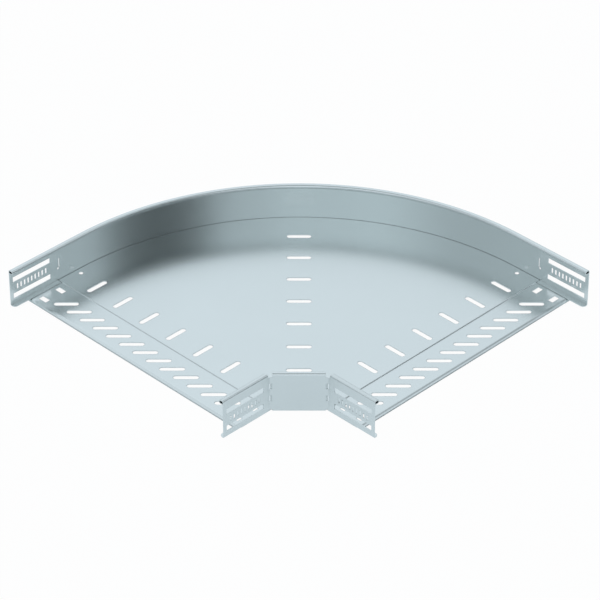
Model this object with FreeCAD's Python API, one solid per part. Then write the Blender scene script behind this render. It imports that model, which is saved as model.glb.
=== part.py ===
"""Horizontal 90 degree bend of a perforated cable tray, made of folded galvanised sheet.

Three folded pieces: a slotted base plate, one curved outer side rail and one inner side rail
that is folded twice round the inner corner. Both rails run on past the base plate as
perforated connectors, on which the next length of tray is pushed.

Units are millimetres. One mouth faces +X and the other faces +Y. The origin is where the
centre lines of the two runs cross, on the underside of the base plate. The bend is the same
on both sides of the vertical plane where X equals Y.
"""
import FreeCAD, Part
import math
import os

from FreeCAD import Vector

# Sheet and overall form
sheet = 1.0                # thickness of the galvanised sheet
web_span = 396.6           # across the outer faces of the two side rails
rail_height = 55.6         # side rail, from its lower edge to the top of its rim
arc_centre_inset = 6.3     # from the inner rail's web to the centre of the outer rail's arc
straight_run = 42.0        # from the end of the arc to the mouth strip
base_gap = 0.2             # between the base plate's rim and a web
seat_gap = 0.1             # between a connector's foot flange and the mouth strip

# Rolled rim along the top of each rail
rim_width = 7.6
rim_depth = 5.2            # of the roll, square to its slant
rim_slant = 8.0            # fall of the rim from the web inwards, in degrees
rim_end_gap = 0.3          # between the rolled-in edge and the web
rim_inside_facets = 3      # flat facets per quarter turn inside the rim

# Connectors, the ends of the rails past the mouth strip's step
connector_length = 81.1
foot_width = 8.0           # foot flange, from the web's outer face
foot_fold_radius = 0.3     # inside the fold between web and foot flange
foot_corner_radius = 5.0
foot_start_gap = 0.4       # between the step's lower end and the foot flange
long_slot_length = 63.0
long_slot_height = 7.7
long_slot_rise = 12.5      # above and below the row of small slots
small_slot_count = 9
small_slot_pitch = 6.0
small_slot_width = 2.7
small_slot_height = 8.6
small_end_facets = 4       # flat facets round each end of a small slot or slit
slot_row_height = 25.0     # middle of the small slots above the rail's lower edge
slot_end_margin = 5.2      # from the long slots to the connector's end

# Hooked slit in the outer rail, just before each connector
slit_width = 1.4
slit_top = 33.2
slit_bottom = 21.0
slit_setback = 2.3         # from the step back to the slit
slit_hole_radius = 1.5
slit_hole_height = 18.6
slit_hole_shift = 1.9      # from the slit towards the mouth

# Folds of the inner rail round the inner corner
fold_past_step = 2.2       # from the step to the fold
fold_turn = 45.0           # turn of the web at each fold, in degrees
corner_fold_radius = 0.8   # inside the two folds
fold_relief = 3.0          # each side of a fold, where rim and foot are cut away
foot_relief = 2.0          # height of the notch at the foot of a fold
fold_slit_width = 2.4
fold_slit_height = 8.5
fold_slit_heights = (19.0, 37.0)

# Mouth strip of the base plate
step_slope = 55.0          # of the sheet between plate and strip, in degrees
strip_length = 50.0        # from the step to the lead-in edge
lead_in_turn = 60.0        # of the rolled-down lead-in edge, in degrees
lead_in_radius = 5.1       # inside the roll
lead_in_setback = 3.5      # from the strip's sides to the ends of the lead-in edge

# Perforation of the base plate
slot_length = 32.5
slot_width = 7.2
slot_end_facets = 10       # flat facets round each end of a slot
slot_slant = 45.0          # of the diagonal and strip slots, in degrees
row_pitch = 50.0
row_margin = 40.0          # least room from a web to the middle of a row's last slot
side_row_setback = 25.0    # from the step back to the side row
diagonal_row_margin = 46.2 # from the outer web to the first slot of the diagonal row
diagonal_row_end = 25.0    # least room from its last slot to the inner rail
strip_slot_pitch = 25.0
strip_slot_distance = 28.2 # from the step to the row of slanted slots
lug_hole_length = 13.5
lug_hole_width = 7.9
lug_hole_spacing = 28.0
lug_hole_distance = 27.1   # from the step to the middle of a pair
lug_hole_margin = 19.1     # from the web's inner face
screw_hole_diameter = 6.0
screw_hole_margin = 9.4    # from the web's inner face
screw_hole_setback = 31.0  # from the step back to the hole

# Worked-out places
half_span = web_span / 2.0
web_inside = half_span - sheet
arc_centre = half_span + arc_centre_inset
bend_radius = arc_centre + web_inside      # inner face of the outer rail's web
step_start = arc_centre + straight_run
step_drop = sheet + seat_gap
step_end = step_start + step_drop / math.tan(math.radians(step_slope))
foot_start = step_end + foot_start_gap
connector_end = step_start + connector_length
fold_place = step_start + fold_past_step
corner_cut = fold_place - half_span        # along each run, from the webs' crossing
connector_start = fold_place + fold_relief
plate_edge = web_inside - base_gap
strip_top = -seat_gap
strip_end = step_start + strip_length
rim_radius = rim_depth / 2.0
web_top = rail_height - rim_radius
slot_middle = connector_end - slot_end_margin - long_slot_length / 2.0
row_room = 2 * (web_inside - row_margin)
plate_face = half_span + corner_cut / 2.0  # on X = Y, outer face of the inner corner's plate
diagonal_room = (
    bend_radius + (plate_face - arc_centre) * math.sqrt(2) - sheet
    - diagonal_row_margin - diagonal_row_end
)
through = 4.0 * sheet
near_one = 0.99            # part of a unit vector that counts as all of it

UP = Vector(0, 0, 1)
ALONG_X = Vector(1, 0, 0)
ALONG_Y = Vector(0, 1, 0)
DIAGONAL = Vector(1, 1, 0).normalize()


def across_bend(shape):
    """The same shape on the other run, mirrored in the plane where X equals Y."""
    return shape.mirror(Vector(0, 0, 0), Vector(1, -1, 0))


def fuse(shapes):
    """One solid from shapes that touch or overlap."""
    return shapes[0].fuse(shapes[1:]).removeSplitter()


def arc(centre, radius, first, last, place):
    """Arc between two angles in degrees about a centre (u, z) of a section."""
    points = []
    for angle in (first, (first + last) / 2.0, last):
        turn = math.radians(angle)
        u = centre[0] + radius * math.cos(turn)
        z = centre[1] + radius * math.sin(turn)
        points.append(place(u, z))
    return Part.Arc(*points).toShape()


def upright_edges(shape):
    """Edges of a shape that run straight up."""
    return [e for e in shape.Edges if abs(e.tangentAt(e.FirstParameter).z) > near_one]


def section_place(foot, inward):
    """Places a section's point: u from the web's outer face inwards, z upwards."""
    def place(u, z):
        return foot + inward * u + UP * z
    return place


def rail_section(foot, inward, with_foot):
    """Cross section of a side rail: foot flange where it has one, web and rolled rim."""
    place = section_place(foot, inward)
    rolled = rim_radius - sheet
    slant = math.radians(rim_slant)
    reach = (rim_width - 2 * rim_radius) / math.cos(slant)
    near = (rim_radius, web_top)
    far = (rim_width - rim_radius, web_top - reach * math.sin(slant))
    top_angle = 90 - rim_slant
    low_angle = top_angle - 180
    edges = []

    def on_roll(centre, radius, angle):
        turn = math.radians(angle)
        return (centre[0] + radius * math.cos(turn), centre[1] + radius * math.sin(turn))

    def line(start, end):
        edges.append(Part.makeLine(place(*start), place(*end)))

    def facets(centre, radius, first, last):
        steps = int(rim_inside_facets * abs(last - first) / 90)
        points = []
        for index in range(steps + 1):
            angle = first + (last - first) * index / steps
            points.append(on_roll(centre, radius, angle))
        for start, end in zip(points, points[1:]):
            line(start, end)

    def rolled_in(point):
        u = point[0] - return_length * math.cos(slant)
        z = point[1] + return_length * math.sin(slant)
        return (u, z)

    if with_foot:
        outside = foot_fold_radius + sheet
        corner = (outside, outside)
        line((outside, 0), (foot_width, 0))
        line((foot_width, 0), (foot_width, sheet))
        line((foot_width, sheet), (outside, sheet))
        edges.append(arc(corner, foot_fold_radius, 270, 180, place))
        line((sheet, outside), (sheet, web_top))
        edges.append(arc(corner, outside, 270, 180, place))
        line((0, outside), (0, web_top))
    else:
        line((0, 0), (sheet, 0))
        line((sheet, 0), (sheet, web_top))
        line((0, 0), (0, web_top))

    inner_low = on_roll(far, rolled, low_angle)
    outer_low = on_roll(far, rim_radius, low_angle)
    return_length = (outer_low[0] - sheet - rim_end_gap) / math.cos(slant)
    facets(near, rolled, 180, top_angle)
    line(on_roll(near, rolled, top_angle), on_roll(far, rolled, top_angle))
    facets(far, rolled, top_angle, low_angle)
    line(inner_low, rolled_in(inner_low))
    line(rolled_in(inner_low), rolled_in(outer_low))
    line(rolled_in(outer_low), outer_low)
    edges.append(arc(far, rim_radius, low_angle, top_angle, place))
    line(on_roll(far, rim_radius, top_angle), on_roll(near, rim_radius, top_angle))
    edges.append(arc(near, rim_radius, top_angle, 180, place))
    wire = Part.Wire(Part.__sortEdges__(edges))
    return Part.Face(wire)


def rounded_slot(length, width, facets):
    """Slot with round ends along X, through a sheet that is centred on z = 0."""
    radius = width / 2.0
    outline = []
    for side in (1, -1):
        for index in range(facets + 1):
            turn = math.pi * (index / facets - 0.5)
            x = length / 2.0 - radius + radius * math.cos(turn)
            outline.append(Vector(side * x, side * radius * math.sin(turn), -through / 2.0))
    return Part.Face(Part.makePolygon(outline + outline[:1])).extrude(UP * through)


def turned(shape, angle, x, y, z=0.0):
    """A copy of a cutter turned about the vertical and moved to its place."""
    copy = shape.copy()
    copy.rotate(Vector(0, 0, 0), UP, angle)
    copy.translate(Vector(x, y, z))
    return copy


def web_cutter(flat, x, y, z):
    """A cutter drawn flat on XY, stood up to go through a web that runs along X."""
    copy = flat.copy()
    copy.rotate(Vector(0, 0, 0), ALONG_X, 90)
    copy.translate(Vector(x, y, z))
    return copy


def square_slot(length, width):
    """Slot with square ends along X, through a sheet that is centred on z = 0."""
    return Part.makeBox(
        length, width, through, Vector(-length / 2.0, -width / 2.0, -through / 2.0)
    )


def connector_cutters(y):
    """Two long slots and the row of small upright slots between them, in a web at y."""
    cutters = []
    long_slot = square_slot(long_slot_length, long_slot_height)
    for rise in (-long_slot_rise, long_slot_rise):
        cutters.append(web_cutter(long_slot, slot_middle, y, slot_row_height + rise))
    small_slot = rounded_slot(small_slot_height, small_slot_width, small_end_facets)
    upright = turned(small_slot, 90, 0, 0)
    first = slot_middle - small_slot_pitch * (small_slot_count - 1) / 2.0
    for index in range(small_slot_count):
        x = first + small_slot_pitch * index
        cutters.append(web_cutter(upright, x, y, slot_row_height))
    return cutters


def hooked_slit(y):
    """Upright slit that hooks towards the mouth and ends in a small round hole."""
    slit_x = step_start - slit_setback
    hole_x = slit_x + slit_hole_shift
    height = slit_top - slit_bottom
    upright = rounded_slot(height + slit_width, slit_width, small_end_facets)
    upright = turned(upright, 90, 0, 0)
    upright = web_cutter(upright, slit_x, y, (slit_top + slit_bottom) / 2.0)
    drop = slit_bottom - slit_hole_height
    hook_length = math.hypot(slit_hole_shift, drop)
    hook_angle = -math.degrees(math.atan2(drop, slit_hole_shift))
    hook = rounded_slot(hook_length + slit_width, slit_width, small_end_facets)
    hook = turned(hook, hook_angle, 0, 0)
    hook = web_cutter(
        hook, (slit_x + hole_x) / 2.0, y, (slit_bottom + slit_hole_height) / 2.0
    )
    hole = Part.makeCylinder(
        slit_hole_radius, through, Vector(hole_x, y - through / 2.0, slit_hole_height), ALONG_Y
    )
    return [upright, hook, hole]


def foot_corner_cutter(y_free, towards_web):
    """What rounds the free corner of a foot flange at the connector's end."""
    size = foot_corner_radius
    side = size if towards_web > 0 else -size
    low_y = min(y_free, y_free + side)
    block = Part.makeBox(size, size, through, Vector(connector_end - size, low_y, -sheet))
    round_part = Part.makeCylinder(
        size, through, Vector(connector_end - size, y_free + side, -sheet), UP
    )
    return block.cut(round_part)


def connector(y_outer, inward, start):
    """Straight end of a rail along X, from start to the connector's end."""
    foot = Vector(start, y_outer, 0)
    solid = rail_section(foot, inward, True).extrude(ALONG_X * (connector_end - start))
    free_edge = y_outer + inward.y * foot_width
    y_web = y_outer + inward.y * sheet / 2.0
    cutters = connector_cutters(y_web)
    cutters.append(foot_corner_cutter(free_edge, -inward.y))
    return solid.cut(cutters)


def outer_side_rail():
    """Outer rail: a quarter circle between two straight ends, in one folded strip."""
    inward = ALONG_Y
    y_outer = -half_span
    straight = rail_section(Vector(arc_centre, y_outer, 0), inward, False)
    straight_part = straight.extrude(ALONG_X * (foot_start - arc_centre))
    straight_part = straight_part.cut(hooked_slit(y_outer + sheet / 2.0))
    end = fuse([straight_part, connector(y_outer, inward, foot_start)])
    centre = Vector(arc_centre, arc_centre, 0)
    curved = straight.revolve(centre, UP, -90)
    return fuse([curved, end, across_bend(end)])


def fold_piece():
    """Web at a fold of the inner rail, without rim or foot, so that it can be folded."""
    fold = Vector(fold_place, half_span, 0)
    along = Vector(-1, 1, 0).normalize()
    inward_mitre = math.tan(math.radians(fold_turn / 2.0)) * sheet
    inner_fold = Vector(fold.x - inward_mitre, half_span - sheet, 0)
    outline = [
        Vector(connector_start, half_span, 0),
        fold,
        fold + along * fold_relief,
        fold + along * fold_relief - DIAGONAL * sheet,
        inner_fold,
        Vector(connector_start, half_span - sheet, 0),
    ]
    face = Part.Face(Part.makePolygon(outline + outline[:1]))
    face.translate(UP * foot_relief)
    solid = face.extrude(UP * (rail_height - rim_depth - foot_relief))

    def upright_at(place):
        def distance(edge):
            middle = edge.CenterOfMass
            return math.hypot(middle.x - place.x, middle.y - place.y)
        return min(upright_edges(solid), key=distance)

    solid = solid.makeFillet(corner_fold_radius + sheet, [upright_at(inner_fold)])
    solid = solid.makeFillet(corner_fold_radius, [upright_at(fold)])
    for height in fold_slit_heights:
        slit = Part.makeBox(
            fold_slit_width, 2 * through, fold_slit_height,
            Vector(-fold_slit_width / 2.0, -through, height - fold_slit_height / 2.0),
        )
        solid = solid.cut(turned(slit, fold_turn / 2.0, fold.x, fold.y))
    return solid


def inner_side_rail():
    """Inner rail: two connectors and a plain plate across the inner corner, one strip."""
    end = connector(half_span, -ALONG_Y, connector_start)
    folded = fold_piece()
    along = Vector(-1, 1, 0).normalize()
    fold = Vector(fold_place, half_span, 0)
    plate_start = fold + along * fold_relief
    plate_length = corner_cut * math.sqrt(2) - 2 * fold_relief
    section = rail_section(plate_start, -DIAGONAL, False)
    plate = section.extrude(along * plate_length)
    return fuse([plate, folded, across_bend(folded), end, across_bend(end)])


def mouth_profile():
    """Edge of the base plate along X: step, strip and lead-in edge, as a closed face."""
    place = section_place(Vector(0, -plate_edge, 0), ALONG_X)
    turn = math.radians(lead_in_turn)
    inside = lead_in_radius
    outside = lead_in_radius + sheet
    hub = (strip_end, strip_top - outside)
    low = strip_top - sheet
    under = sheet * math.tan(math.radians(step_slope / 2.0))

    def on_bend(radius, angle):
        return (hub[0] + radius * math.sin(angle), hub[1] + radius * math.cos(angle))

    top = [(arc_centre, sheet), (step_start, sheet), (step_end, strip_top), (strip_end, strip_top)]
    bottom = [(strip_end, low), (step_end - under, low), (step_start - under, 0), (arc_centre, 0)]
    edges = []

    def polyline(points):
        for start, end in zip(points, points[1:]):
            edges.append(Part.makeLine(place(*start), place(*end)))

    def bend(radius):
        points = [place(*on_bend(radius, turn * share)) for share in (0, 0.5, 1)]
        edges.append(Part.Arc(*points).toShape())

    polyline(top)
    bend(outside)
    polyline([on_bend(outside, turn), on_bend(inside, turn)])
    bend(inside)
    polyline(bottom + top[:1])
    return Part.Face(Part.Wire(Part.__sortEdges__(edges)))


def mouth_strip():
    """Straight part of the base plate on one run, with the step and the lead-in edge."""
    strip = mouth_profile().extrude(ALONG_Y * (2 * plate_edge))
    box = strip.BoundBox
    end_block = Part.makeBox(
        box.XMax - strip_end, lead_in_setback, box.ZLength,
        Vector(strip_end, -plate_edge, box.ZMin)
    )
    other_block = end_block.mirror(Vector(0, 0, 0), ALONG_Y)
    return strip.cut([end_block, other_block])


def floor_plate():
    """Flat part of the base plate: a quarter disc and the corner up to the inner rail."""
    radius = bend_radius - base_gap
    centre = Vector(arc_centre, arc_centre, 0)
    first = Vector(arc_centre, arc_centre - radius, 0)
    last = Vector(arc_centre - radius, arc_centre, 0)
    crossing = 2 * half_span + corner_cut - math.sqrt(2) * (sheet + base_gap)
    side = crossing - step_start
    rim = Part.Arc(last, centre - DIAGONAL * radius, first).toShape()
    outline = Part.makePolygon([
        first,
        Vector(step_start, first.y, 0),
        Vector(step_start, side, 0),
        Vector(side, step_start, 0),
        Vector(last.x, step_start, 0),
        last,
    ])
    return Part.Face(Part.Wire(outline.Edges + [rim])).extrude(UP * sheet)


def row_places(pitch):
    """Places across a run for a row of slots that is centred on it."""
    count = int(row_room / pitch) + 1
    return [pitch * (index - (count - 1) / 2.0) for index in range(count)]


def base_cutters():
    """All slots and holes of the base plate."""
    slot = rounded_slot(slot_length, slot_width, slot_end_facets)
    cutters = []
    one_run = []
    for y in row_places(row_pitch):
        one_run.append(turned(slot, 0, step_start - side_row_setback, y))
    for y in row_places(strip_slot_pitch):
        x = step_start + strip_slot_distance
        one_run.append(turned(slot, -slot_slant, x, y, strip_top))
    lug_x = step_start + lug_hole_distance
    lug_y = web_inside - lug_hole_margin
    lug = square_slot(lug_hole_width, lug_hole_length)
    for x in (lug_x - lug_hole_spacing / 2.0, lug_x + lug_hole_spacing / 2.0):
        for y in (-lug_y, lug_y):
            one_run.append(turned(lug, 0, x, y, strip_top))
    hole = Part.makeCylinder(
        screw_hole_diameter / 2.0, through,
        Vector(step_start - screw_hole_setback, screw_hole_margin - web_inside, -sheet), UP
    )
    one_run.append(hole)
    for cutter in one_run:
        cutters.append(cutter)
        cutters.append(across_bend(cutter))
    for index in range(int(diagonal_room / row_pitch) + 1):
        radius = bend_radius - diagonal_row_margin - row_pitch * index
        place = arc_centre - radius / math.sqrt(2)
        cutters.append(turned(slot, -slot_slant, place, place))
    return cutters


def base_plate():
    """Slotted base plate with a stepped-down strip and a lead-in edge at each mouth."""
    strip = mouth_strip()
    plate = fuse([floor_plate(), strip, across_bend(strip)])
    return plate.cut(base_cutters())


def write_part(name, shape):
    """One STEP file for one folded piece."""
    solid = shape.Solids[0] if len(shape.Solids) == 1 else shape
    print(name, "valid", solid.isValid(), "solids", len(shape.Solids),
          "volume", round(solid.Volume / 1000.0, 2), "cm3")
    solid.exportStep("parts/" + name + ".step")


os.makedirs("parts", exist_ok=True)
write_part("base_plate", base_plate())
write_part("outer_side_rail", outer_side_rail())
write_part("inner_side_rail", inner_side_rail())
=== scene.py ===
"""A horizontal right-angle bend of perforated cable tray, seen from above in a white studio."""
import math

import bpy
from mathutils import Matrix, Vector


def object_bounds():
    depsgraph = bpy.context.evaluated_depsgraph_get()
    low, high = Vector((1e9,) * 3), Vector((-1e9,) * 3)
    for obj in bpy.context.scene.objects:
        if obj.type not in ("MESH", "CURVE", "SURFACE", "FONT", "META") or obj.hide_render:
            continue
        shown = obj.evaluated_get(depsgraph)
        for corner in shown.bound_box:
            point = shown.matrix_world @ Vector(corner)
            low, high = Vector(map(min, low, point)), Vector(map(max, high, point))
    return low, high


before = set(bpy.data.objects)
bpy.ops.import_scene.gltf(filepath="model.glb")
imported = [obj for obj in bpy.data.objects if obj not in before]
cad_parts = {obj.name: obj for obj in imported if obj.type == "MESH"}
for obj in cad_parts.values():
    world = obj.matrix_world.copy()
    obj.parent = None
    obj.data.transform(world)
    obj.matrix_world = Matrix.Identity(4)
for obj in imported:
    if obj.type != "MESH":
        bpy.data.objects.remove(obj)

cad_low, cad_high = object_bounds()


# Base plate
# One slotted sheet of strip-galvanised steel, cut to a quarter circle under the outer rail and
# stepped down by its own thickness at both mouths, where the next tray lies on it.
def input_socket(group, name, kind, value):
    """A named input of a shader node group, with its default value."""
    socket = group.interface.new_socket(name=name, in_out="INPUT", socket_type=kind)
    if value is not None:
        socket.default_value = value


def feed(tree, socket, value):
    """Gives an input socket a plain value, or a link from an output socket."""
    if isinstance(value, bpy.types.NodeSocket):
        tree.links.new(value, socket)
    else:
        socket.default_value = value


def mapped(tree, value, low, high, out_low, out_high, interpolation="LINEAR"):
    """A value moved from one range to another, and held at the ends."""
    node = tree.nodes.new("ShaderNodeMapRange")
    node.interpolation_type = interpolation
    feed(tree, node.inputs["Value"], value)
    feed(tree, node.inputs["From Min"], low)
    feed(tree, node.inputs["From Max"], high)
    feed(tree, node.inputs["To Min"], out_low)
    feed(tree, node.inputs["To Max"], out_high)
    return node.outputs["Result"]


def calculated(tree, operation, first, second):
    """A Math node on two sockets or plain numbers."""
    node = tree.nodes.new("ShaderNodeMath")
    node.operation = operation
    feed(tree, node.inputs[0], first)
    feed(tree, node.inputs[1], second)
    return node.outputs["Value"]


def weighted(tree, *parts):
    """The sum of the parts, each of them a value and its weight."""
    total = None
    for value, weight in parts:
        product = calculated(tree, "MULTIPLY", value, weight)
        total = product if total is None else calculated(tree, "ADD", total, product)
    return total


def cosine_between(tree, first, second):
    """Cosine of the angle between two directions."""
    node = tree.nodes.new("ShaderNodeVectorMath")
    node.operation = "DOT_PRODUCT"
    feed(tree, node.inputs[0], first)
    feed(tree, node.inputs[1], second)
    return node.outputs["Value"]


def noise(tree, vector, scale, detail):
    """Smooth noise, for the most part between -1 and 1."""
    usual_low, usual_high = 0.3, 0.7
    node = tree.nodes.new("ShaderNodeTexNoise")
    feed(tree, node.inputs["Scale"], scale)
    feed(tree, node.inputs["Detail"], detail)
    feed(tree, node.inputs["Vector"], vector)
    return mapped(tree, node.outputs["Fac"], usual_low, usual_high, -1.0, 1.0)


def build_zinc_skin():
    """Zinc skin of rolled sheet: small spangles, rolling streaks, clouds and edges, and painted
    shade that darkens its colour in seams.
    """
    crystals_per_metre = 420.0
    clouds_per_metre = 9.0
    streak_stretch = (6.0, 520.0, 520.0)    # long along X, the rolling direction, and thin
    grain_tone, cloud_tone, edge_tone = 0.4, 0.012, 0.08
    grain_blur, cloud_blur, edge_blur = 0.35, 0.006, 0.1
    streak_relief, spangle_relief = 0.6, 0.4
    painted_shade_tone = 0.55                        # share of the tone that is left deep in a seam

    group = bpy.data.node_groups.new("zinc skin with painted seam shade", "ShaderNodeTree")
    input_socket(group, "Vector", "NodeSocketVector", None)
    input_socket(group, "Zinc", "NodeSocketColor", (0.6, 0.7, 0.74, 1.0))
    input_socket(group, "Roughness", "NodeSocketFloat", 0.3)
    input_socket(group, "Spangle", "NodeSocketFloat", 0.012)
    input_socket(group, "Streaks", "NodeSocketFloat", 0.012)
    input_socket(group, "Edge Wear", "NodeSocketFloat", 0.0)
    input_socket(group, "Seam", "NodeSocketFloat", 0.0)
    for name, kind in (
        ("Color", "NodeSocketColor"), ("Roughness", "NodeSocketFloat"),
        ("Height", "NodeSocketFloat"),
    ):
        group.interface.new_socket(name=name, in_out="OUTPUT", socket_type=kind)
    given = group.nodes.new("NodeGroupInput").outputs
    result = group.nodes.new("NodeGroupOutput").inputs

    crystals = group.nodes.new("ShaderNodeTexVoronoi")
    feed(group, crystals.inputs["Scale"], crystals_per_metre)
    feed(group, crystals.inputs["Vector"], given["Vector"])
    spangle = mapped(group, crystals.outputs["Color"], 0.0, 1.0, -1.0, 1.0)
    stretch = group.nodes.new("ShaderNodeMapping")
    feed(group, stretch.inputs["Scale"], streak_stretch)
    feed(group, stretch.inputs["Vector"], given["Vector"])
    streak = noise(group, stretch.outputs["Vector"], 1.0, 3.0)
    cloud = noise(group, given["Vector"], clouds_per_metre, 4.0)
    grain = weighted(group, (spangle, given["Spangle"]), (streak, given["Streaks"]))

    tone_change = weighted(
        group, (grain, grain_tone), (cloud, cloud_tone), (given["Edge Wear"], edge_tone)
    )
    tone = calculated(group, "ADD", tone_change, 1.0)
    # Painted shade: the colour is darkened deep in seams, where a shadow would fall.
    painted_seam_shade = mapped(group, given["Seam"], 0.0, 1.0, 1.0, painted_shade_tone)
    shade = group.nodes.new("ShaderNodeVectorMath")
    shade.operation = "SCALE"
    feed(group, shade.inputs["Vector"], given["Zinc"])
    feed(group, shade.inputs["Scale"], calculated(group, "MULTIPLY", tone, painted_seam_shade))
    feed(group, result["Color"], shade.outputs["Vector"])

    blur = weighted(
        group, (grain, grain_blur), (cloud, cloud_blur), (given["Edge Wear"], edge_blur)
    )
    feed(group, result["Roughness"], calculated(group, "ADD", blur, given["Roughness"]))
    relief = weighted(group, (streak, streak_relief), (spangle, spangle_relief))
    feed(group, result["Height"], relief)
    return group


def galvanised(name, zinc, roughness, edge_radius):
    """Galvanised sheet, whose folds and cut edges are softened over a radius in metres, and whose
    colour is darkened in seams and concave corners as painted shade.
    """
    worn_edge = 0.8                         # cosine of the turn at which an edge is fully worn
    shade_reach = 0.003                      # metres within which another surface makes a seam
    open_corner, deep_seam = 0.64, 0.42     # share of the surroundings that each one sees

    material = bpy.data.materials.new(name)
    material.use_nodes = True
    tree = material.node_tree
    shader = tree.nodes["Principled BSDF"]
    feed(tree, shader.inputs["Metallic"], 1.0)
    place = tree.nodes.new("ShaderNodeTexCoord")
    skin = tree.nodes.new("ShaderNodeGroup")
    skin.node_tree = zinc_skin
    feed(tree, skin.inputs["Vector"], place.outputs["Object"])
    feed(tree, skin.inputs["Zinc"], zinc + (1.0,))
    feed(tree, skin.inputs["Roughness"], roughness)

    edge = tree.nodes.new("ShaderNodeBevel")
    edge.samples = 6
    feed(tree, edge.inputs["Radius"], edge_radius)
    surface = tree.nodes.new("ShaderNodeNewGeometry")
    facing = cosine_between(tree, edge.outputs["Normal"], surface.outputs["Normal"])
    feed(tree, skin.inputs["Edge Wear"], mapped(tree, facing, 1.0, worn_edge, 0.0, 1.0))

    # Painted shade: ambient occlusion within a few millimetres darkens the colour where surfaces
    # meet, such as at the foot of the walls, in place of their contact shadow.
    seam = tree.nodes.new("ShaderNodeAmbientOcclusion")
    seam.samples = 8
    feed(tree, seam.inputs["Distance"], shade_reach)
    painted_shade_depth = mapped(tree, seam.outputs["AO"], open_corner, deep_seam, 0.0, 1.0)
    feed(tree, skin.inputs["Seam"], painted_shade_depth)

    bump = tree.nodes.new("ShaderNodeBump")
    feed(tree, bump.inputs["Strength"], 0.008)
    feed(tree, bump.inputs["Distance"], 0.0001)
    feed(tree, bump.inputs["Height"], skin.outputs["Height"])
    feed(tree, bump.inputs["Normal"], edge.outputs["Normal"])
    feed(tree, shader.inputs["Base Color"], skin.outputs["Color"])
    feed(tree, shader.inputs["Roughness"], skin.outputs["Roughness"])
    feed(tree, shader.inputs["Normal"], bump.outputs["Normal"])
    return material


def dress(node, material):
    """Gives a node its material in place of the plain one it came with."""
    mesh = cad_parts[node].data
    mesh.materials.clear()
    mesh.materials.append(material)


zinc_skin = build_zinc_skin()
zinc_tone = (0.665, 0.716, 0.715)
zinc_blur = 0.25
plate_edge = 0.0009
dress("base_plate", galvanised("galvanised floor sheet", zinc_tone, zinc_blur, plate_edge))


# Outer side rail
# A strip of the same sheet, roll-formed with a hollow rim, drawn round the bend in a quarter
# circle and punched at both ends with the slots of the push-on connector.
strip_edge = 0.0005
dress("outer_side_rail", galvanised("galvanised curved strip", zinc_tone, zinc_blur, strip_edge))


# Inner side rail
# A short strip of the same sheet, folded twice where its rim and foot are notched away, with the
# same connector at each end.
dress("inner_side_rail", galvanised("galvanised folded strip", zinc_tone, zinc_blur, strip_edge))


# Floor
# A wide white studio floor, which the bend stands on by the lead-in edges of its two mouths. It
# glows white towards the camera, and a little dimmer and cooler where the metal mirrors it.
floor_size = 12.0
floor_gap = 0.0002
seen_glow = 0.97           # share of the glow where the camera looks at the floor
mirrored_glow = 0.7        # share where the metal mirrors it
white = (1.0, 1.0, 1.0, 1.0)
cool_white = (0.91, 0.99, 1.05, 1.0)
bpy.ops.object.select_all(action="DESELECT")
bpy.ops.mesh.primitive_plane_add(size=floor_size, location=(0.0, 0.0, cad_low[2] - floor_gap))
floor = bpy.context.object
floor.name = "studio_floor"
paper = bpy.data.materials.new("white paper")
paper.use_nodes = True
paper_tree = paper.node_tree
paper_shader = paper_tree.nodes["Principled BSDF"]
feed(paper_tree, paper_shader.inputs["Base Color"], (0.84, 0.9, 0.93, 1.0))
feed(paper_tree, paper_shader.inputs["Roughness"], 0.9)
path = paper_tree.nodes.new("ShaderNodeLightPath")
glow_tint = paper_tree.nodes.new("ShaderNodeMix")
glow_tint.data_type = "RGBA"
feed(paper_tree, glow_tint.inputs["Factor"], path.outputs["Is Camera Ray"])
feed(paper_tree, glow_tint.inputs["A"], cool_white)
feed(paper_tree, glow_tint.inputs["B"], white)
glow = paper_tree.nodes.new("ShaderNodeEmission")
feed(paper_tree, glow.inputs["Strength"], 1.0)
feed(paper_tree, glow.inputs["Color"], glow_tint.outputs["Result"])
mirrored = calculated(
    paper_tree, "MAXIMUM", path.outputs["Is Glossy Ray"], path.outputs["Is Transmission Ray"]
)
glow_share = calculated(
    paper_tree, "MAXIMUM",
    calculated(paper_tree, "MULTIPLY", path.outputs["Is Camera Ray"], seen_glow),
    calculated(paper_tree, "MULTIPLY", mirrored, mirrored_glow),
)
blend = paper_tree.nodes.new("ShaderNodeMixShader")
feed(paper_tree, blend.inputs["Fac"], glow_share)
feed(paper_tree, blend.inputs[1], paper_shader.outputs["BSDF"])
feed(paper_tree, blend.inputs[2], glow.outputs["Emission"])
feed(paper_tree, paper_tree.nodes["Material Output"].inputs["Surface"], blend.outputs["Shader"])
floor.data.materials.append(paper)


# Studio light
# A pale tent all round, with soft panels in it that are lighter or darker than the cloth. Most of
# their numbers come from a fit to the bright and dark zones of the photo, and were then rounded.
def direction_of(azimuth, height):
    """The direction at an azimuth and a height, both in degrees."""
    turn, rise = math.radians(azimuth), math.radians(height)
    return Vector((
        math.cos(rise) * math.cos(turn), math.cos(rise) * math.sin(turn), math.sin(rise)
    ))


tent = bpy.data.worlds.new("light tent")
bpy.context.scene.world = tent
tent.use_nodes = True
tent_tree = tent.node_tree


def changed(level, value, start, end, brightness):
    """Brightness of the tent, which goes over to a new one while a value goes up."""
    share = mapped(tent_tree, value, start, end, 0.0, 1.0, "SMOOTHSTEP")
    mix = tent_tree.nodes.new("ShaderNodeMix")
    feed(tent_tree, mix.inputs["Factor"], share)
    feed(tent_tree, mix.inputs["A"], level)
    feed(tent_tree, mix.inputs["B"], brightness)
    return mix.outputs["Result"]


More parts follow.
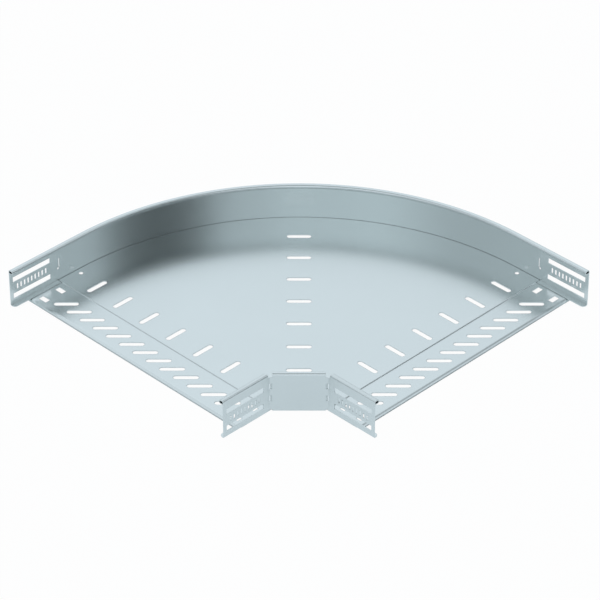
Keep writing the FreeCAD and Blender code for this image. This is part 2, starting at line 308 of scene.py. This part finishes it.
foot_brightness = 0.80
bands = [
    # two heights in degrees, between which the cloth goes over to the brightness that follows
    (6.0, 14.0, 0.30),
    (19.0, 38.0, 1.08),
    (50.0, 65.0, 0.48),
]
panels = [
    # azimuth and height of the middle, inner and outer radius, all in degrees, and brightness
    (98.0, 26.0, 17.0, 23.0, 0.05),     # makes the dark zone in the left part of the outer wall
    (221.0, 22.0, 3.0, 30.0, 1.00),     # lights the whole plate from behind
    (17.0, 39.0, 5.0, 24.0, 1.15),      # lights the outer wall right of its middle
    (183.0, 38.0, 5.0, 25.0, 0.50),     # dims the right half of the plate, this one a little
    (336.0, 53.0, 9.0, 29.0, 0.80),     # dims the outer wall towards its right end
    (180.0, 22.0, 10.0, 37.0, 0.10),    # dims the right half of the plate more
    (124.0, 16.0, 5.0, 13.0, 0.10),     # dims the left end of the outer wall a little
    (324.0, 12.0, 4.0, 13.0, 0.60),     # lights the right end of the outer wall a little
    (45.0, 17.0, 3.0, 12.0, 1.50),      # lights the middle of the outer wall
]
direction = tent_tree.nodes.new("ShaderNodeTexCoord").outputs["Generated"]
split = tent_tree.nodes.new("ShaderNodeSeparateXYZ")
feed(tent_tree, split.inputs["Vector"], direction)
level = foot_brightness
for low, high, brightness in bands:
    start, end = math.sin(math.radians(low)), math.sin(math.radians(high))
    level = changed(level, split.outputs["Z"], start, end, brightness)
for azimuth, height, inner, outer, brightness in panels:
    nearness = cosine_between(tent_tree, direction, direction_of(azimuth, height))
    start, end = math.cos(math.radians(outer)), math.cos(math.radians(inner))
    level = changed(level, nearness, start, end, brightness)
background = tent_tree.nodes["Background"]
feed(tent_tree, background.inputs["Strength"], level)
feed(tent_tree, background.inputs["Color"], (0.925, 1.0, 1.065, 1.0))


# Camera
# A long lens, looking down on the bend along its line of symmetry, over the inner corner.
image_width = 600
lens_reach = 3118.5        # focal length in pixels of the image
sensor_width = 36.0
look_at = Vector((0.05685, 0.05685, 0.001))
camera_distance = 4.0323
camera_azimuth = 45.0
camera_height = 35.147
left_shift = 0.97          # pixels by which the line of symmetry lies left of the middle
up_shift = 0.3             # pixels by which the bend is lifted in the image
camera_data = bpy.data.cameras.new("camera")
camera_data.sensor_width = sensor_width
camera_data.lens = lens_reach * sensor_width / image_width
camera_data.shift_x = left_shift / image_width
camera_data.shift_y = -up_shift / image_width
camera = bpy.data.objects.new("camera", camera_data)
bpy.context.scene.collection.objects.link(camera)
towards_camera = direction_of(camera_azimuth, camera_height)
camera.location = look_at + towards_camera * camera_distance
camera.rotation_euler = (-towards_camera).to_track_quat("-Z", "Y").to_euler()
bpy.context.scene.camera = camera

bpy.context.scene.view_settings.view_transform = "Standard"
